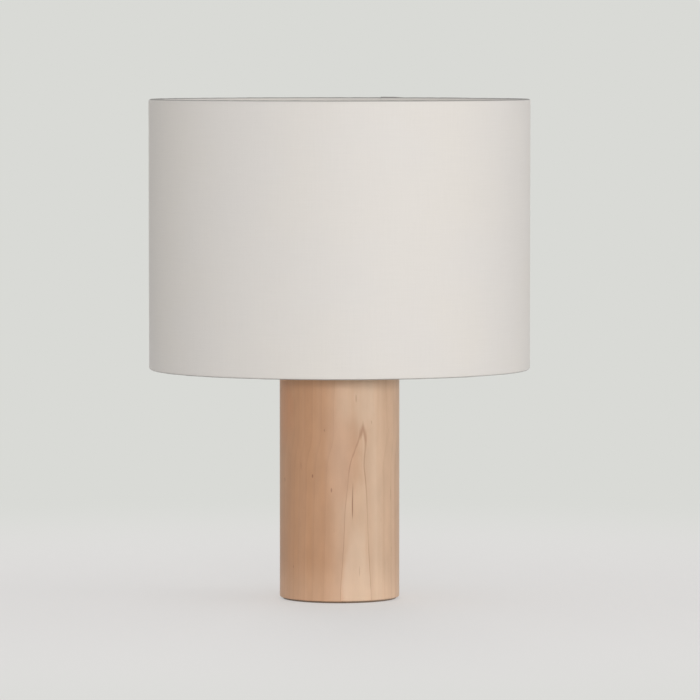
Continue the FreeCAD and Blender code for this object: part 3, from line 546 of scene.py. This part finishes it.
wood = turned_wood()
cloth = woven_cloth()
lining = plain_piece("white_lining", (0.80, 0.79, 0.765), 0.42, spread=14.0, tone=0.03, grit=900.0)
powder = plain_piece("powder_coat", (0.78, 0.78, 0.765), 0.48, tone=0.04, grit=1400.0, depth=0.00005)
zinc = spun_metal("zinc_plate", (0.56, 0.57, 0.58), 0.34)
nickel = spun_metal("brushed_nickel", (0.66, 0.645, 0.61), 0.28)
brass = spun_metal("brass", (0.78, 0.57, 0.28), 0.26)
moulded = coated_piece("white_moulding", (0.80, 0.80, 0.785), 0.38, 0.25, tone=0.03, grit=1100.0)
glaze = coated_piece("glazed_ceramic", (0.84, 0.83, 0.79), 0.30, 0.6, tone=0.04)
sleeve = plain_piece("wire_sleeve", (0.70, 0.69, 0.66), 0.45)
block_plastic = plain_piece("block_plastic", (0.78, 0.78, 0.76), 0.5)
gland_plastic = plain_piece(
    "gland_plastic", (0.62, 0.60, 0.56), 0.46, tone=0.05, grit=1500.0, depth=0.00004
)
cap_metal = spun_metal("cap_metal", (0.70, 0.70, 0.69), 0.30)
solder = plain_piece("solder", (0.55, 0.55, 0.54), 0.4, 1.0, tone=0.15, change=0.3)
black_glass = coated_piece("black_glass", (0.012, 0.012, 0.012), 0.2, 0.5)
bulb_plastic = plain_piece("bulb_plastic", (0.84, 0.84, 0.825), 0.36, tone=0.02, grit=1300.0)
board_white = plain_piece("board_lacquer", (0.82, 0.83, 0.80), 0.4)
phosphor = plain_piece("phosphor", (0.78, 0.60, 0.12), 0.55)
board_green = plain_piece("driver_lacquer", (0.05, 0.20, 0.08), 0.35)

FINISHES = {
    "foot_pad": felt(),
    "column": wood,
    "base_plate": zinc,
    "base_screws": zinc,
    "threaded_tube": zinc,
    "bottom_washer": zinc,
    "bottom_nut": zinc,
    "top_plate": nickel,
    "top_nut": nickel,
    "cord_gland": gland_plastic,
    "cord_clamp": zinc,
    "clamp_screws": zinc,
    "terminal_block": block_plastic,
    "terminal_block_screws": brass,
    "inner_wires": sleeve,
    "holder_cap": moulded,
    "holder_grub_screw": zinc,
    "holder_skirt": moulded,
    "holder_insulator": glaze,
    "holder_terminals": brass,
    "socket_shell": brass,
    "centre_contact": brass,
    "shade_fabric": cloth,
    "shade_liner": lining,
    "shade_top_wire": powder,
    "shade_bottom_wire": powder,
    "spider_arms": powder,
    "fitter_ring": powder,
    "clamp_washer": pressed_fibre(),
    "shade_ring": moulded,
    "bulb_tip": solder,
    "bulb_insulator": black_glass,
    "bulb_cap": cap_metal,
    "bulb_housing": bulb_plastic,
    "bulb_dome": opal(),
    "led_board": board_white,
    "led_chips": phosphor,
    "driver_board": board_green,
}

for name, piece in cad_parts.items():
    for holder in piece.material_slots:
        holder.material = FINISHES[name]
    if not piece.material_slots:
        piece.data.materials.append(FINISHES[name])


# Shade cover


def cover_line():
    """Middle of the cloth in section, from one hem's end to the other: (radius, height, outward normal)."""
    low, high = SHADE_LOW, SHADE_HIGH
    half = CLOTH_T / 2
    fold = WIRE_R + FOLD_PLAY + half
    wire_r = SHADE_R - half - fold
    flap_r = SHADE_R - CLOTH_T - LINER_T - half
    lean = WIRE_R
    rise = 4 * WIRE_R
    wire_low = low + half + fold
    lower = [
        (flap_r, low + HEM_H, (-1, 0)),
        (flap_r, wire_low + rise + (HEM_H - rise - half - fold) / 2, (-1, 0)),
        (flap_r, wire_low + rise, (-1, 0)),
    ]
    start = (wire_r - fold, wire_low + lean)
    for step in (0.75, 0.5, 0.25):
        r = start[0] + (flap_r - start[0]) * step
        lower.append((r, start[1] + (rise - lean) * step, (-1, 0)))
    lower.append((*start, (-1, 0)))
    for i in range(FOLD_ROWS + 1):
        turn = math.pi * i / FOLD_ROWS
        out = (-math.cos(turn), -math.sin(turn))
        lower.append((wire_r + fold * out[0], wire_low + fold * out[1], out))
    wire_high = high - half - fold
    wall = []
    for i in range(1, WALL_ROWS):
        wall.append((SHADE_R - half, wire_low + (wire_high - wire_low) * i / WALL_ROWS, (1, 0)))
    upper = [(r, low + high - z, (out[0], -out[1])) for r, z, out in reversed(lower)]
    return lower + wall + upper


def cover_angles():
    """Angles round the cloth, from its first edge to the end that laps over it."""
    lap = math.degrees(SEAM_LAP / SHADE_R)
    first = SEAM_ANGLE - lap / 2
    steps = [first + 360.0 * i / COLUMNS_ROUND for i in range(COLUMNS_ROUND + 1)]
    return steps + [first + 360.0 + lap * i / LAP_STEPS for i in range(1, LAP_STEPS + 1)], first + 360.0


def pucker(angle, height, reach):
    """Small unevenness of glued cloth, most at the folded hems."""
    at = Vector((math.cos(angle) * SHADE_R, math.sin(angle) * SHADE_R, height))
    broad = noise.noise(at * WALL_WAVES) * WALL_WAVE_H
    hem = noise.noise(at * HEM_WAVES) * HEM_WAVE_H * reach
    return broad + hem


def shade_cover():
    """The cloth round the drum: one sheet, folded in over both wires, with its end lapped at the back."""
    line = cover_line()
    angles, lap_start = cover_angles()
    low, high = line[0][1], line[-1][1]
    vertices = []
    for angle in angles:
        turn = math.radians(angle)
        lift = SEAM_LIFT * max(0.0, min(1.0, (angle - lap_start + SEAM_RUN) / SEAM_RUN))
        for radius, height, out in line:
            edge = min(height - low, high - height)
            reach = 1.0 if edge < HEM_H / 4 else WALL_REACH
            bump = lift + pucker(turn, height, reach)
            r = radius + out[0] * bump
            vertices.append((r * math.cos(turn), r * math.sin(turn), height + out[1] * bump))
    rows = len(line)
    faces = []
    for i in range(len(angles) - 1):
        for j in range(rows - 1):
            a = i * rows + j
            faces.append((a, a + rows, a + rows + 1, a + 1))
    mesh = bpy.data.meshes.new("shade_cover")
    mesh.from_pydata(vertices, [], faces)
    mesh.validate()
    for face in mesh.polygons:
        face.use_smooth = True
    cover = bpy.data.objects.new("shade_cover", mesh)
    bpy.context.scene.collection.objects.link(cover)
    thick = cover.modifiers.new("cloth", "SOLIDIFY")
    thick.thickness = CLOTH_T * CLOTH_FILL
    thick.offset = 0.0
    mesh.materials.append(cloth)
    return cover


cover = shade_cover()
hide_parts("shade_fabric")
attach(cover, "shade")


# Studio


def seen_rays(tree):
    """1 for rays that show what is behind the lamp: from the camera, a reflection or glass."""
    path = put(tree, "ShaderNodeLightPath").outputs
    first = calc(tree, "MAXIMUM", path["Is Camera Ray"], path["Is Glossy Ray"])
    return calc(tree, "MAXIMUM", first, path["Is Transmission Ray"])


def floor():
    """Pale floor that keeps the lamp's shadow and fades into the backdrop."""
    mat, tree, shader = material("pale_floor", roughness=0.85)
    at = place(tree)
    drift = cloud(tree, at, 2.0, 2.0)
    second = [channel * FLOOR_DRIFT for channel in FLOOR_TONE]
    feed(tree, blended(tree, drift, FLOOR_TONE, second), shader.inputs["Base Color"])
    shader.inputs["Specular IOR Level"].default_value = 0.15
    away = put(tree, "ShaderNodeVectorMath", {0: at}, operation="LENGTH").outputs["Value"]
    far = between(tree, away, FLOOR_FADE_START, FLOOR_FADE_END)
    hue = blended(tree, far, FLOOR_GLOW, BACKDROP)
    glow = put(tree, "ShaderNodeEmission", {"Color": hue, "Strength": 1.0})
    fade = between(tree, away, FLOOR_FADE_START, FLOOR_FADE_END, FLOOR_LIFT, 1.0)
    factor = calc(tree, "MULTIPLY", fade, seen_rays(tree))
    mix = put(tree, "ShaderNodeMixShader", {0: factor, 1: shader.outputs[0], 2: glow.outputs[0]})
    feed(tree, mix.outputs[0], tree.nodes["Material Output"].inputs["Surface"])
    half = FLOOR_SIDE / 2
    mesh = bpy.data.meshes.new("floor")
    corners = [(-half, -half), (half, -half), (half, half), (-half, half)]
    corners = [(x, y, -FLOOR_DROP) for x, y in corners]
    mesh.from_pydata(corners, [], [(0, 1, 2, 3)])
    mesh.materials.append(mat)
    piece = bpy.data.objects.new("floor", mesh)
    bpy.context.scene.collection.objects.link(piece)


def sky():
    """Even light from all round, with the backdrop's grey where it shows."""
    world = bpy.data.worlds.new("studio")
    bpy.context.scene.world = world
    world.use_nodes = True
    tree = world.node_tree
    tree.nodes.clear()
    direction = put(tree, "ShaderNodeTexCoord").outputs["Generated"]
    height = put(tree, "ShaderNodeSeparateXYZ", {0: direction}).outputs[2]
    strength = between(tree, height, *SKY_BAND, SKY_STRENGTH, SKY_STRENGTH * SKY_OVERHEAD)
    light = put(tree, "ShaderNodeBackground", {"Color": (1.0, 1.0, 1.0, 1.0), "Strength": strength})
    shown = put(tree, "ShaderNodeBackground", {"Color": (*BACKDROP, 1.0), "Strength": 1.0})
    parts = {0: seen_rays(tree), 1: light.outputs[0], 2: shown.outputs[0]}
    mix = put(tree, "ShaderNodeMixShader", parts)
    put(tree, "ShaderNodeOutputWorld", {"Surface": mix.outputs[0]})


def aimed(piece, target):
    """Turns a light or camera to look at a point."""
    piece.rotation_euler = (Vector(target) - piece.location).to_track_quat("-Z", "Y").to_euler()


def soft_box(name, azimuth, distance, height, width, depth, watts):
    """Soft box that stands round the lamp and is aimed at its middle."""
    lamp = bpy.data.lights.new(name, "AREA")
    lamp.shape = "RECTANGLE"
    lamp.size, lamp.size_y = width, depth
    lamp.energy = watts
    lamp.color = LAMP_TINT
    piece = bpy.data.objects.new(name, lamp)
    bpy.context.scene.collection.objects.link(piece)
    turn = math.radians(azimuth)
    piece.location = (distance * math.sin(turn), -distance * math.cos(turn), height)
    aimed(piece, AIM)


def camera():
    """Level camera in front of the lamp, tipped a little downwards."""
    lens = bpy.data.cameras.new("camera")
    lens.sensor_width = SENSOR_MM
    lens.lens = FOCAL_PX / FRAME_PX * SENSOR_MM
    lens.clip_end = CLIP_END
    piece = bpy.data.objects.new("camera", lens)
    bpy.context.scene.collection.objects.link(piece)
    piece.location = CAMERA_PLACE
    piece.rotation_euler = (math.radians(90.0 - CAMERA_PITCH_DOWN), 0.0, 0.0)
    bpy.context.scene.camera = piece


camera()
floor()
sky()
for box in SOFT_BOXES:
    soft_box(*box)
bpy.context.scene.view_settings.view_transform = "Standard"
